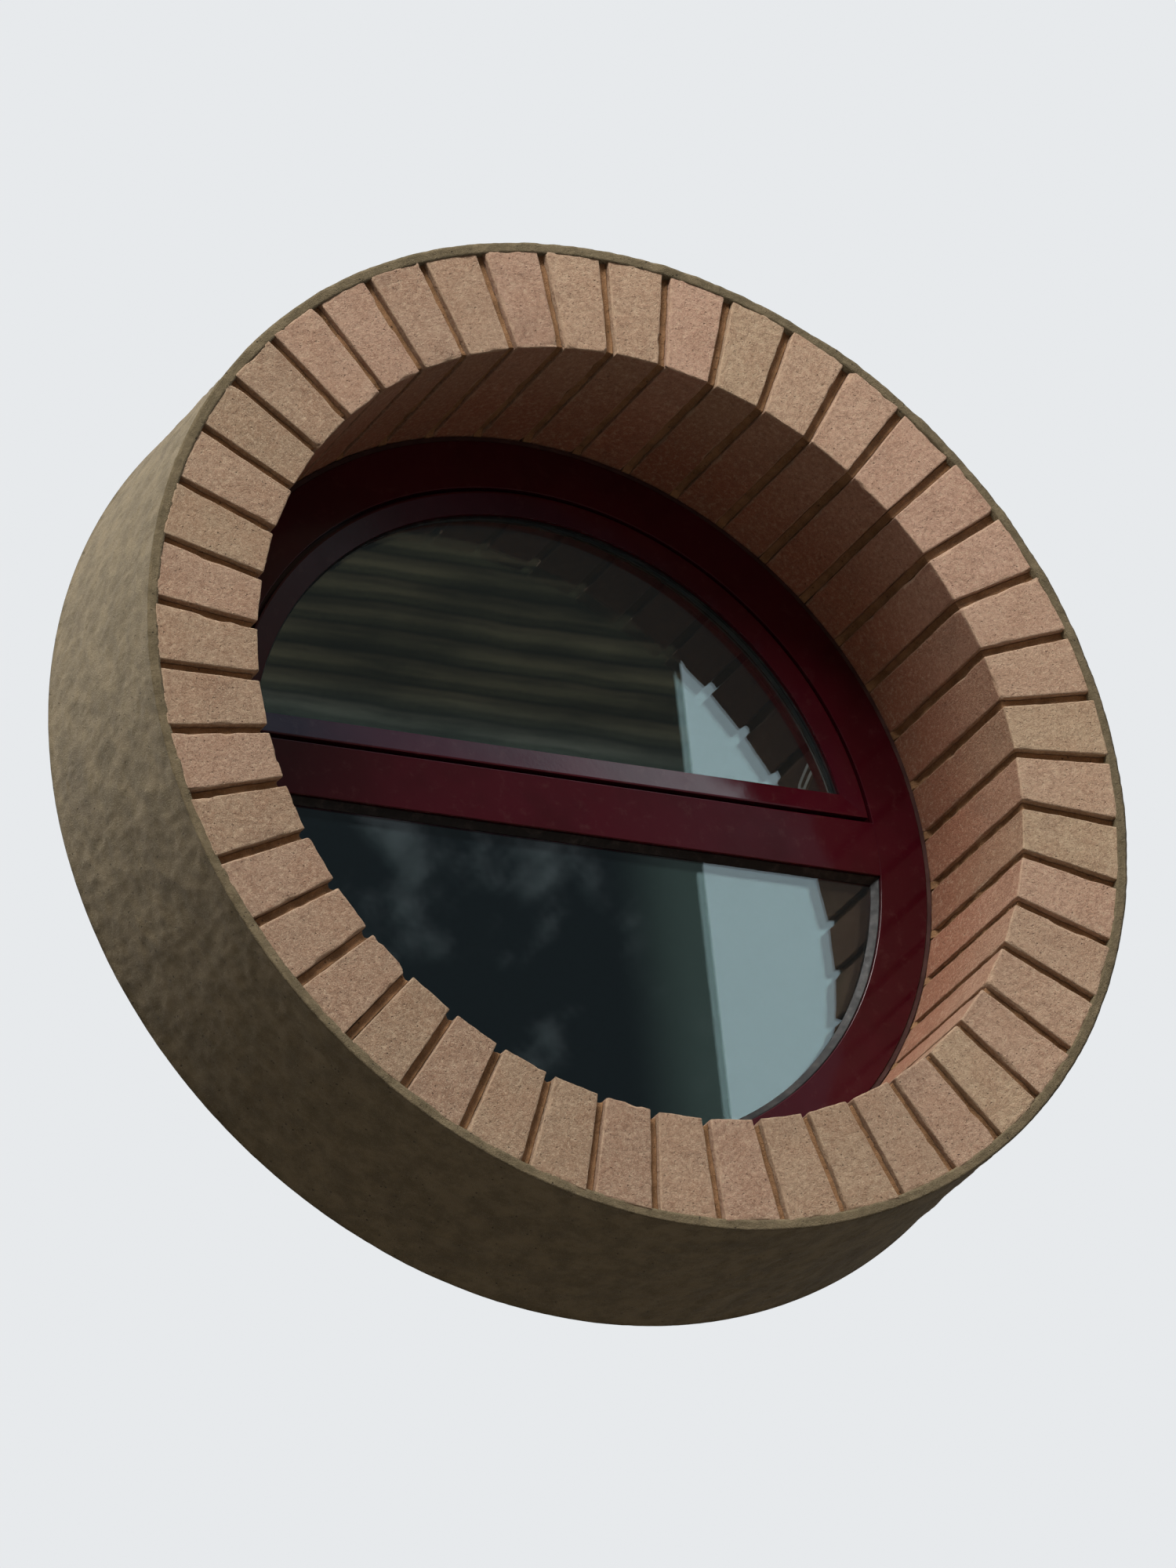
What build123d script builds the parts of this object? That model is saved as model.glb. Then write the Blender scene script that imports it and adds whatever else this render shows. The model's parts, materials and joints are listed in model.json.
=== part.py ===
from build123d import *
import os
from math import asin, cos, degrees, pi, sqrt, tan

# A round window in its ring of bricks. Below the transom the pane is fixed, and above it a sash tilts into
# the room. Millimetres. X runs to the right seen from outside, Y into the wall and Z up. The origin is the
# centre of the ring of bricks, on the face of the wall.

# Ring of bricks
opening_radius = 440.0
brick_count = 47
brick_length = 115.0
ring_depth = 240.0
joint_width = 9.0
rim_joint = 10.0
front_rake = 8.0
soffit_rake = 5.0
flush_rake = 1.0
brick_arris = 1.5
first_brick = 5.1

# Frame and transom
frame_depth = 45.0
frame_stand = 5.0
perimeter_gap = 5.0
face_width = 55.0
lip_cover = 18.0
lip_thickness = 7.5
profile_wall = 2.0
profile_arris = 1.0
transom_height = 62.0
transom_rise = 10.0
sealant_depth = 10.0
weep_length = 24.0
weep_height = 5.0
weep_angle = 18.0

# Panes and their seals
glass_thickness = 4.0
glass_cavity = 8.0
glass_cover = 13.0
edge_seal_width = 5.0
spacer_width = 7.0
outer_gasket_thickness = 2.5
inner_gasket_thickness = 3.0
gasket_cover = 10.0
gasket_nose = 8.0
gasket_nose_height = 4.0
gasket_edge = 1.0
bead_cover = 2.0
bead_bevel = 6.0
setting_block_length = 80.0
setting_block_place = 0.62

# Sash
shadow_gap = 5.0
sash_face = 25.0
sash_bevel = 3.0
sash_play = 5.0
sash_flange = 12.0
flange_thickness = 3.5
sash_stand = 5.0
sash_shoulder_gap = 3.0
seal_width = 6.0
inner_seal_width = 4.0
cleat_reach = 60.0

# Fits
hairline = 0.1
seal_clearance = 0.3
running_clearance = 0.05

# Screws
screw_radius = 2.1
screw_head_radius = 4.0
screw_head_height = 2.0
screw_length = 14.0
screw_edge = 5.5

# Frame anchors, each in the middle of a brick
anchor_count = 8
anchor_radius = 3.75
anchor_head_radius = 5.5
anchor_head_height = 3.0
anchor_reach = 70.0
anchor_access_radius = 6.5
cap_rim = 1.5
cap_thickness = 0.8

# Transom cleats
transom_cleat_length = 45.0
end_screw_spacing = 16.0
end_screw_length = 36.0
end_screw_access_radius = 5.0

# Hinges
hinge_place = 230.0
hinge_length = 64.0
hinge_knuckle = 27.0
knuckle_gap = 0.5
barrel_radius = 6.0
barrel_clearance = 0.5
hinge_pin_radius = 3.0
hinge_pin_head = 1.5
leaf_thickness = 2.5
frame_leaf_height = 12.0
sash_leaf_height = 28.0
leaf_screw_place = 23.0

# Catch
catch_width = 60.0
catch_height = 24.0
catch_plate = 4.0
catch_corner = 6.0
catch_screw_place = 22.0
pivot_radius = 4.0
pivot_head_radius = 7.0
pivot_head_height = 2.0
hub_radius = 10.0
spur_gap = 2.0
spur_thickness = 6.0
spur_length = 37.0
spur_root_radius = 7.0
spur_tip_radius = 4.0
grip_length = 92.0
grip_thickness = 8.0
grip_tip_radius = 6.5
grip_round = 2.5
keeper_plate = 3.0
keeper_width = 34.0
keeper_height = 18.0
keeper_inset = 5.0
keeper_lead = 8.0
keeper_clearance = 0.5
keeper_screw_spacing = 9.0

# Stays
opening_angle = 30.0
stay_radius = 170.0
stay_band = 18.0
stay_plate = 3.0
stay_foot_width = 16.0
stay_foot_height = 20.0
stay_margin = 0.5
stay_stand = 8.0
stud_radius = 3.0
stud_slack = 0.5
stud_head_radius = 6.0
stud_head_height = 2.5
bracket_plate = 3.0
bracket_width = 35.0
bracket_height = 20.0
bracket_depth = 22.0

# Depths from the face of the wall
front = ring_depth + frame_stand - frame_depth
lip_back = front + lip_thickness
glass_front = lip_back + outer_gasket_thickness
cavity_front = glass_front + glass_thickness
cavity_back = cavity_front + glass_cavity
glass_back = cavity_back + glass_thickness
bead_front = glass_back + inner_gasket_thickness
frame_back = front + frame_depth
sash_shoulder = lip_back + sash_shoulder_gap
sash_back = frame_back + sash_stand
flange_front = sash_back - flange_thickness
frame_middle = (lip_back + frame_back) / 2
anchor_depth = (glass_front + glass_back) / 2

# Radii and levels
ring_radius = opening_radius + brick_length
rim_radius = ring_radius + rim_joint
frame_radius = opening_radius - perimeter_gap
face_radius = frame_radius - face_width
rebate_radius = face_radius + lip_cover
transom_top = transom_rise + transom_height / 2
transom_bottom = transom_rise - transom_height / 2

# The sash's edges, as distances outward from the visible edge of the frame's upper opening
nose_edge = -shadow_gap
sash_lip_edge = nose_edge - sash_face
sash_rebate = sash_lip_edge + lip_cover
sash_shoulder_edge = lip_cover - sash_play
flange_edge = sash_shoulder_edge + sash_flange

# The hinge axis lies at the lower edge of the sash's flange, on the room side
hinge_y = sash_back + barrel_clearance + barrel_radius
hinge_z = transom_top - flange_edge


def bow(radius, level, side):
    """The part of a disc above a level, with side 1, or below it, with side -1."""
    half = sqrt(radius**2 - level**2)
    arc = ThreePointArc((-half, level), (0, side * radius), (half, level))
    return make_face(Curve() + [arc, Line((half, level), (-half, level))])


def upper(offset):
    """The opening above the transom, grown by an offset on all sides."""
    return bow(face_radius + offset, transom_top - offset, 1)


def lower(offset):
    """The opening below the transom, grown by an offset on all sides."""
    return bow(face_radius + offset, transom_bottom + offset, -1)


def slab(outline, y_from, y_to):
    """An outline in the wall's plane, extruded from one depth to another."""
    return extrude(Plane.XZ.offset(-y_from) * outline, amount=y_to - y_from, dir=(0, 1, 0))


def funnel(outline_from, y_from, outline_to, y_to):
    """A body that narrows or widens from one outline to another."""
    ends = [Plane.XZ.offset(-y_from) * outline_from, Plane.XZ.offset(-y_to) * outline_to]
    return loft(ends, ruled=True)


def bar(outline, x_from, x_to):
    """An outline in Y and Z, extruded along X."""
    return extrude(Plane.YZ.offset(x_from) * outline, amount=x_to - x_from)


def rectangle(low, high):
    """A rectangle given by two corners."""
    width, height = high[0] - low[0], high[1] - low[1]
    return Pos(low[0], low[1]) * Rectangle(width, height, align=Align.MIN)


def block(low, high):
    """A box given by two corners."""
    size = [b - a for a, b in zip(low, high)]
    return Pos(*low) * Box(*size, align=Align.MIN)


def group(pieces):
    """Separate solids that share a node."""
    solids = [solid for piece in pieces for solid in piece.solids()]
    return Compound(children=solids)


def both_sides(piece):
    """A piece on the right and its mirror image on the left."""
    return [piece, mirror(piece, about=Plane.YZ)]


def straight_zone(opening, out_offset, in_offset):
    """What the straight length of a profile round an opening takes up, between its mitred corners."""
    corners = []
    for offset in (out_offset, in_offset):
        edge = opening(offset).edges().filter_by(GeomType.LINE)[0]
        corners.append((max(edge.start_point().X, edge.end_point().X), edge.start_point().Y))
    (x_out, z_out), (x_in, z_in) = corners
    zone = Polygon((-x_out, z_out), (x_out, z_out), (x_in, z_in), (-x_in, z_in), align=None)
    return slab(zone, 0, 2 * ring_depth)


# Countersunk screws are driven from the room side, with the head flush in the face at y
def screw(x, y, z, play=0.0, length=screw_length):
    """One screw, or with some play the hole for it."""
    neck, tip = y - screw_head_height, y - length - play
    shank, head = screw_radius + play, screw_head_radius + play
    outline = Polygon((0, y), (head, y), (shank, neck), (shank, tip), (0, tip), align=None)
    return Pos(x, 0, z) * revolve(outline, axis=Axis.Y)


def screws(places, play=0.0):
    """A row of screws at (x, y, z) places, or the holes for them."""
    return [screw(*place, play) for place in places]


def mirrored(pieces):
    """Pieces on the right, each with its mirror image."""
    return [side for piece in pieces for side in both_sides(piece)]


def at_both_hinges(places):
    """The screw places of both hinges, from a function that gives those of one."""
    return places(-hinge_place) + places(hinge_place)


# Bricks
def brick_half_width(radius):
    """Half a brick's width at a radius, where all joints have the same width."""
    half_pitch = pi / brick_count
    return radius * tan(half_pitch) - joint_width / 2 / cos(half_pitch)


def brick_outline():
    """The tapered end of the brick at the top of the ring."""
    low, high = opening_radius, ring_radius
    inner, outer = brick_half_width(low), brick_half_width(high)
    return Polygon((-inner, low), (inner, low), (outer, high), (-outer, high), align=None)


brick_pitch = 360 / brick_count
brick_angles = [first_brick + brick_pitch * number for number in range(brick_count)]
joint_angles = [angle + brick_pitch / 2 for angle in brick_angles]
anchor_bricks = [int((number + 0.5) * brick_count / anchor_count) for number in range(anchor_count)]
anchor_angles = [brick_angles[number] for number in anchor_bricks]


def radial_pin(radius, r_from, r_to):
    """A round bar along the radius, at the top of the ring and at the depth of the glass."""
    return Pos(0, anchor_depth, (r_from + r_to) / 2) * Cylinder(radius, r_to - r_from)


def bricks():
    """All bricks of the ring, with a drilled hole in those that hold an anchor."""
    brick = slab(brick_outline(), 0, ring_depth)
    front_edges = brick.edges().group_by(Axis.Y)[0]
    soffit_edges = brick.edges().filter_by(Axis.Y).group_by(Axis.Z)[0]
    brick = chamfer(front_edges + soffit_edges, brick_arris)
    tip = frame_radius + anchor_reach + hairline
    hole = radial_pin(anchor_radius + hairline, opening_radius - 1, tip)
    drilled = brick - hole
    return group(
        [Rot(0, angle, 0) * (drilled if number in anchor_bricks else brick)
         for number, angle in enumerate(brick_angles)])


def joint_outline(inner_radius):
    """The joint at the top of the ring, from an inner radius to the outer ends of the bricks."""
    return rectangle((-joint_width / 2, inner_radius), (joint_width / 2, ring_radius))


def joint_mortar():
    """The mortar of each joint, raked back where it shows."""
    raked = slab(joint_outline(opening_radius + soffit_rake), front_rake, ring_depth)
    behind_frame = slab(joint_outline(opening_radius + flush_rake), front, ring_depth)
    joint = raked + behind_frame
    return group([Rot(0, angle, 0) * joint for angle in joint_angles])


def rim_mortar():
    """The joint round the ring, from the outer ends of the bricks and joints."""
    def end(half_width, angle):
        corners = [Vector(-half_width, ring_radius), Vector(half_width, ring_radius)]
        return [corner.rotate(Axis.Z, -angle) for corner in corners]

    brick_end = brick_half_width(ring_radius)
    inside = []
    for brick_angle, joint_angle in zip(brick_angles, joint_angles):
        inside += end(brick_end, brick_angle) + end(joint_width / 2, joint_angle)
    return slab(Circle(rim_radius) - Polygon(*inside, align=None), 0, ring_depth)


def perimeter_ring(y_from, y_to):
    """What fills the gap between the frame and the bricks."""
    ring = Circle(opening_radius - hairline) - Circle(frame_radius + hairline)
    hole = radial_pin(anchor_radius + hairline, frame_radius - 1, opening_radius + 1)
    return slab(ring, y_from, y_to) - [Rot(0, angle, 0) * hole for angle in anchor_angles]


# Frame
def frame_ring():
    """The bent profile, with its chamber, anchor holes and weep slots."""
    outside = Polygon(
        (frame_radius, front), (face_radius, front), (face_radius, lip_back), (rebate_radius, lip_back),
        (rebate_radius, frame_back), (frame_radius, frame_back), align=None)
    outside = fillet(outside.vertices().group_by(Axis.Y)[0], profile_arris)
    chamber_floor = rebate_radius + profile_wall
    chamber = rectangle(
        (chamber_floor, front + profile_wall), (frame_radius - profile_wall, frame_back - profile_wall))
    ring = revolve(outside - chamber, axis=Axis.Y)
    access = radial_pin(anchor_access_radius, rebate_radius - 1, chamber_floor + 1)
    shank = radial_pin(anchor_radius + hairline, frame_radius - 2 * profile_wall, frame_radius + 1)
    holes = [Rot(0, angle, 0) * hole for angle in anchor_angles for hole in (access, shank)]
    holes += [Rot(0, 180 + angle, 0) * slot for angle in (-weep_angle, weep_angle) for slot in weep_slots()]
    for y in end_screw_depths():
        place = Pos(frame_radius, y, transom_rise) * Rot(0, 90, 0)
        driver = Cylinder(end_screw_access_radius, 8 * profile_wall)
        shaft = Pos(0, 0, rebate_radius - frame_radius) * Cylinder(screw_radius + hairline, 8 * profile_wall)
        holes += both_sides(place * driver) + both_sides(place * shaft)
    return ring - holes


def weep_slots():
    """A slot from the glass into the chamber and one from the chamber outside, for a place at the top."""
    half, low, high = weep_length / 2, rebate_radius - 1, rebate_radius + 2 * profile_wall
    drain = block((-half, frame_middle, low), (half, frame_middle + weep_height, high))
    outlet = block((-half, front - 1, high), (half, front + 2 * profile_wall, high + weep_height))
    return [drain, outlet]


def end_screw_depths():
    """The depths of the two screws at each end of the transom."""
    return [frame_middle - end_screw_spacing / 2, frame_middle + end_screw_spacing / 2]


def inside_frame(clearance):
    """What fits in the ring: out to its lip in front, and out to its rebate behind the lip."""
    return (slab(Circle(face_radius - clearance), front, lip_back)
            + slab(Circle(rebate_radius - clearance), lip_back, frame_back))


def transom():
    """The straight profile across the ring, with its ends cut to the ring's shape."""
    low, high = transom_bottom + lip_cover, transom_top - lip_cover
    lips = rectangle((front, transom_bottom), (lip_back, transom_top))
    outside = lips + rectangle((lip_back, low), (frame_back, high))
    outside = fillet(outside.vertices().group_by(Axis.X)[0], profile_arris)
    chamber = rectangle(
        (front + profile_wall, low + profile_wall), (frame_back - profile_wall, high - profile_wall))
    length = bar(outside - chamber, -rebate_radius, rebate_radius)
    return length & inside_frame(hairline)


def transom_cleat():
    """The block inside the right end of the transom."""
    low, high = transom_bottom + lip_cover, transom_top - lip_cover
    wall = profile_wall + hairline
    outline = rectangle((lip_back + wall, low + wall), (frame_back - wall, high - wall))
    end = rebate_radius - transom_cleat_length
    cleat = bar(outline, end, rebate_radius) & inside_frame(hairline)
    for y in end_screw_depths():
        cleat -= end_screw(y, hairline)
    return cleat


def end_screw(y, play=0.0):
    """A screw from the ring's chamber into the cleat on the right."""
    head_face = rebate_radius + profile_wall + hairline
    shank = Pos(0, 0, -end_screw_length / 2) * Cylinder(screw_radius + play, end_screw_length)
    head = Pos(0, 0, screw_head_height / 2) * Cylinder(screw_head_radius, screw_head_height)
    return Pos(head_face, y, transom_rise) * Rot(0, 90, 0) * (shank + head)


def anchor():
    """The anchor at the top: its head bears on the outer wall, inside the ring's chamber."""
    bearing = frame_radius - profile_wall - hairline
    head = radial_pin(anchor_head_radius, bearing - anchor_head_height, bearing)
    return head + radial_pin(anchor_radius, bearing, frame_radius + anchor_reach)


def anchor_cap():
    """The cap over the access hole at the top."""
    face = rebate_radius - cap_thickness
    rim = radial_pin(anchor_access_radius + cap_rim, face, rebate_radius)
    plug = radial_pin(anchor_access_radius - hairline, face, rebate_radius + profile_wall)
    return (rim & slab(Circle(rebate_radius - hairline), 0, frame_back)) + plug


# Glazing, for either opening. The lip is the visible metal edge outside the pane.
def pane(opening, lip, y_from):
    """One sheet of glass."""
    return slab(opening(lip + glass_cover), y_from, y_from + glass_thickness)


def edge_seal(opening, lip):
    """The seal round the edge of the two sheets."""
    edge = lip + glass_cover
    ring = opening(edge) - opening(edge - edge_seal_width + hairline)
    return slab(ring, cavity_front, cavity_back)


def spacer(opening, lip):
    """The bar that keeps the two sheets apart."""
    edge = lip + glass_cover - edge_seal_width
    return slab(opening(edge) - opening(edge - spacer_width), cavity_front, cavity_back)


def inner_gasket(opening, lip):
    """The seal between the glass and the beads."""
    ring = opening(lip + gasket_cover) - opening(lip + bead_cover)
    return slab(ring, glass_back, bead_front)


def beads(opening, lip, back):
    """The curved and the straight bead that clip in on the room side, open towards the profile."""
    edge, sight = lip + lip_cover - hairline, lip + bead_cover
    outside = slab(opening(edge) - opening(sight), bead_front, back)
    bevel = funnel(opening(sight), bead_front + bead_bevel, opening(sight + bead_bevel), back)
    hollow = opening(edge) - opening(sight + bead_bevel + profile_wall)
    channel = slab(hollow, bead_front + profile_wall, back - profile_wall)
    ring = outside - bevel - channel
    zone = straight_zone(opening, edge, sight)
    return ring - zone, ring & zone


def lower_outer_gasket():
    """The seal in front of the fixed pane, with a bevelled nose that shows inside the lip."""
    nose_front, nose_back = lip_back - gasket_nose_height, glass_front - gasket_edge
    nose = slab(lower(-seal_clearance), nose_front, lip_back)
    outside = nose + slab(lower(gasket_cover), lip_back, glass_front)
    bevel = funnel(lower(-seal_clearance - gasket_edge), nose_front, lower(-gasket_nose), nose_back)
    return outside - bevel - slab(lower(-gasket_nose), nose_back, glass_front)


def lower_setting_blocks():
    """Two blocks under the round edge of the fixed pane."""
    ring = Circle(rebate_radius - hairline) - Circle(face_radius + glass_cover + hairline)
    ring_solid = slab(ring, glass_front, glass_back)
    place = setting_block_place * face_radius
    half = setting_block_length / 2
    right = ring_solid & block((place - half, front, -rebate_radius), (place + half, frame_back, 0))
    return group(both_sides(right))


def sash_setting_blocks():
    """Two blocks under the straight edge of the sash's pane."""
    low = transom_top - sash_rebate
    place = setting_block_place * face_radius
    half = setting_block_length / 2
    right = block((place - half, glass_front, low),
                  (place + half, glass_back, transom_top - sash_lip_edge - glass_cover))
    return group(both_sides(right))


# Sash
def sash_profiles():
    """The bent profile and the bottom rail, mitred at the two corners."""
    outside = (slab(upper(nose_edge), front, sash_shoulder)
               + slab(upper(sash_shoulder_edge), sash_shoulder, sash_back)
               + slab(upper(flange_edge), flange_front, sash_back))
    face = funnel(upper(nose_edge - profile_wall), front, upper(sash_lip_edge), front + sash_bevel)
    sight = slab(upper(sash_lip_edge), front + sash_bevel, lip_back)
    rebate = slab(upper(sash_rebate), lip_back, sash_back)
    chamber = slab(
        upper(sash_shoulder_edge - profile_wall) - upper(sash_rebate + profile_wall),
        sash_shoulder + profile_wall, sash_back - profile_wall)
    ring = outside - face - sight - rebate - chamber
    zone = straight_zone(upper, flange_edge + 1, sash_lip_edge - 1)
    return ring - zone, ring & zone


def sash_corner_cleats():
    """An angled block inside the profiles at each lower corner."""
    wall = profile_wall + hairline
    ring = upper(sash_shoulder_edge - wall) - upper(sash_rebate + wall)
    inside = slab(ring, sash_shoulder + wall, sash_back - wall)
    inner_x = sqrt(face_radius**2 - transom_top**2) - cleat_reach
    near_corner = block((inner_x, front, hinge_z), (frame_radius, sash_back, transom_top + cleat_reach))
    return group(both_sides(inside & near_corner))


def sash_outer_gasket():
    """The seal in front of the sash's pane."""
    ring = upper(sash_lip_edge + gasket_cover) - upper(sash_lip_edge - bead_cover)
    return slab(ring, lip_back, glass_front)


def sash_outer_seal():
    """The seal on the sash's shoulder, just clear of the frame's lip."""
    middle = (sash_shoulder_edge + nose_edge + shadow_gap) / 2
    ring = upper(middle + seal_width / 2) - upper(middle - seal_width / 2)
    return slab(ring, lip_back + seal_clearance, sash_shoulder)


def sash_inner_seal():
    """The seal under the sash's flange, just clear of the frame's inside face."""
    middle = (flange_edge + lip_cover) / 2
    ring = upper(middle + inner_seal_width / 2) - upper(middle - inner_seal_width / 2)
    return slab(ring, frame_back + seal_clearance, flange_front)


# Hinges
def hinge_spans(x):
    """The three knuckles' spans along X: two on the sash and the middle one on the frame."""
    half, middle = hinge_length / 2, hinge_knuckle / 2
    near = middle + knuckle_gap
    return (x - half, x - near), (x - middle, x + middle), (x + near, x + half)


def at_hinge(outline):
    """An outline drawn about the hinge axis."""
    return Pos(hinge_y, hinge_z) * outline


def frame_leaf(x):
    """The leaf on the transom, with the middle knuckle, which grips the pin."""
    low = transom_bottom + lip_cover + 1
    plate = rectangle((frame_back, low), (frame_back + leaf_thickness, low + frame_leaf_height))
    leaf = bar(plate, x - hinge_length / 2, x + hinge_length / 2)
    root = low + frame_leaf_height / 2
    web = Polygon(
        (frame_back, root), (frame_back + leaf_thickness, root), (hinge_y, hinge_z - barrel_radius),
        (hinge_y, hinge_z), (hinge_y - barrel_radius, hinge_z - profile_wall),
        (frame_back, low + frame_leaf_height), align=None)
    knuckle = web + at_hinge(Circle(barrel_radius)) - at_hinge(Circle(hinge_pin_radius))
    return leaf + bar(knuckle, *hinge_spans(x)[1]) - screws(frame_leaf_screws(x), hairline)


def frame_leaf_screws(x):
    """The places of the two screws in a frame leaf."""
    z = transom_bottom + lip_cover + 1 + frame_leaf_height / 2
    return [(x + side * leaf_screw_place, frame_back + leaf_thickness, z) for side in (-1, 1)]


def sash_leaf(x):
    """The leaf on the bottom rail, with the two outer knuckles, which turn on the pin."""
    low = hinge_z + barrel_radius + 1
    back = sash_back + leaf_thickness
    plate = rectangle((sash_back, low), (back, hinge_z + sash_leaf_height))
    leaf = bar(plate, x - hinge_length / 2, x + hinge_length / 2)
    web = rectangle((sash_back + barrel_clearance, hinge_z), (back, low))
    knuckle = web + at_hinge(Circle(barrel_radius)) - at_hinge(Circle(hinge_pin_radius + running_clearance))
    first, _, last = hinge_spans(x)
    return leaf + bar(knuckle, *first) + bar(knuckle, *last) - screws(sash_leaf_screws(x), hairline)


def sash_leaf_screws(x):
    """The places of the two screws in a sash leaf."""
    z = hinge_z + sash_leaf_height - screw_edge
    return [(x + side * leaf_screw_place, sash_back + leaf_thickness, z) for side in (-1, 1)]


def hinge_pin(x):
    """The pin, with a thin head at both ends."""
    half = hinge_length / 2
    shaft = bar(at_hinge(Circle(hinge_pin_radius)), x - half, x + half)
    head = at_hinge(Circle(hinge_pin_radius + 1))
    left = bar(head, x - half - knuckle_gap - hinge_pin_head, x - half - knuckle_gap)
    right = bar(head, x + half + knuckle_gap, x + half + knuckle_gap + hinge_pin_head)
    ends = bar(at_hinge(Circle(hinge_pin_radius)), x - half - knuckle_gap, x + half + knuckle_gap)
    return shaft + ends + left + right


# Catch, at the top of the sash
catch_z = face_radius + (sash_rebate + flange_edge) / 2
catch_face = sash_back + catch_plate
spur_front = catch_face + spur_gap
spur_back = spur_front + spur_thickness
grip_back = spur_back + grip_thickness
keeper_low = face_radius + flange_edge + keeper_inset


def at_catch(outline):
    """An outline in the wall's plane, drawn about the handle's pivot."""
    return Pos(0, catch_z) * outline


def catch_screw_places():
    """The two screws in the base plate."""
    return [(side * catch_screw_place, catch_face, catch_z) for side in (-1, 1)]


def catch_plate_piece():
    """The base plate on the sash, which holds the pivot."""
    outline = RectangleRounded(catch_width, catch_height, catch_corner) - Circle(pivot_radius)
    return slab(at_catch(outline), sash_back, catch_face) - screws(catch_screw_places(), hairline)


def catch_pivot():
    """The pivot, with a head over the hub."""
    shaft = slab(at_catch(Circle(pivot_radius)), sash_back, grip_back + hairline)
    head_front = grip_back + hairline
    return shaft + slab(at_catch(Circle(pivot_head_radius)), head_front, head_front + pivot_head_height)


def tapered_arm(root_radius, tip_radius, reach):
    """The outline of an arm that narrows from the pivot to its tip."""
    root, tip = Circle(root_radius), Pos(reach, 0) * Circle(tip_radius)
    return at_catch(make_hull(root.edges() + tip.edges()))


def catch_handle():
    """The handle at rest: grip to the right and spur to the left, clear of the keeper."""
    hub = slab(at_catch(Circle(hub_radius)), catch_face + hairline, grip_back)
    spur_outline = tapered_arm(spur_root_radius, spur_tip_radius, spur_tip_radius - spur_length)
    spur = slab(spur_outline, spur_front, spur_back)
    grip = slab(tapered_arm(hub_radius, grip_tip_radius, grip_length), spur_back, grip_back)
    grip = fillet(grip.edges().group_by(Axis.Y)[-1], grip_round)
    bore = slab(at_catch(Circle(pivot_radius + running_clearance)), sash_back, grip_back)
    return hub + spur + grip - bore


def keeper():
    """The keeper on the frame: the spur turns in from the left, under its bridge."""
    bridge_front = spur_back + keeper_clearance
    bridge_back = bridge_front + keeper_plate
    left, right = -keeper_lead, keeper_width - keeper_lead
    wall_left = spur_tip_radius + keeper_plate + keeper_clearance
    wall_right = wall_left + keeper_plate
    low, high = keeper_low, keeper_low + keeper_height
    foot = block((left, frame_back, low), (right, frame_back + keeper_plate, high))
    wall = block((wall_left, frame_back, low), (wall_right, bridge_back, high))
    bridge = block((left, bridge_front, low), (wall_right, bridge_back, high))
    return foot + wall + bridge - screws(keeper_screw_places(), hairline)


def keeper_screw_places():
    """The two screws in the keeper's foot."""
    x, y = keeper_width - keeper_lead - screw_edge, frame_back + keeper_plate
    middle = keeper_low + keeper_height / 2
    return [(x, y, middle + side * keeper_screw_spacing / 2) for side in (-1, 1)]


# Stays: a stud on the sash runs in a slot that is concentric with the hinge
stud_y = hinge_y + stay_stand
stud_z = hinge_z + sqrt(stay_radius**2 - stay_stand**2)
stud_angle = degrees(asin(stay_stand / stay_radius))
stay_out = sqrt((frame_radius - 1)**2 - (stud_z + stay_foot_height / 2)**2)
bracket_out = sqrt((face_radius + flange_edge)**2 - (stud_z + bracket_height / 2)**2)
sash_chamber_radius = face_radius + (sash_rebate + sash_shoulder_edge) / 2


def stay_slot(angle_from, angle_to, height):
    """An arc-shaped slot about the hinge axis, its angles measured from upright towards the room."""
    arc = CenterArc((0, 0), stay_radius, 90 - angle_to, angle_to - angle_from)
    return at_hinge(SlotArc(arc, height))


def stay_quadrant():
    """The right quadrant, with its foot on the frame."""
    end = stud_angle + opening_angle + stay_margin
    root = -degrees(asin((hinge_y - frame_back) / stay_radius)) - 2 * stay_margin
    room_side = rectangle((frame_back, 0), (frame_back + 2 * stay_radius, 2 * stay_radius))
    band = stay_slot(root, end + stay_margin, stay_band) & room_side
    slot = stay_slot(stud_angle - stay_margin, end, 2 * (stud_radius + stud_slack))
    half = stay_foot_height / 2
    foot = block((stay_out - stay_foot_width, frame_back, stud_z - half),
                 (stay_out, frame_back + stay_plate, stud_z + half))
    quadrant = bar(band - slot, stay_out - stay_plate, stay_out) + foot
    return quadrant - screws(stay_foot_screws(), hairline)


def stay_foot_screws():
    """The two screws in the right quadrant's foot."""
    x = stay_out - (stay_foot_width + stay_plate) / 2
    return [(x, frame_back + stay_plate, stud_z + side * (screw_edge - 1)) for side in (-1, 1)]


def stay_bracket():
    """The right bracket on the sash: its leg carries the stud."""
    half = bracket_height / 2
    base = block((bracket_out - bracket_width, sash_back, stud_z - half),
                 (bracket_out, sash_back + bracket_plate, stud_z + half))
    leg = block((bracket_out - bracket_plate, sash_back, stud_z - half),
                (bracket_out, sash_back + bracket_depth, stud_z + half))
    hole = bar(Pos(stud_y, stud_z) * Circle(stud_radius), bracket_out - bracket_plate, bracket_out)
    return base + leg - hole - screws(bracket_screws(), hairline)


def bracket_screws():
    """The two screws in the right bracket."""
    x = sqrt(sash_chamber_radius**2 - stud_z**2)
    return [(x, sash_back + bracket_plate, stud_z + side * screw_edge) for side in (-1, 1)]


def stay_stud():
    """The right stud, with a head on the far side of the quadrant."""
    place = Pos(stud_y, stud_z)
    head = stay_out + stud_slack
    shaft = bar(place * Circle(stud_radius), bracket_out - bracket_plate, head)
    return shaft + bar(place * Circle(stud_head_radius), head, head + stud_head_height)


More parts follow.
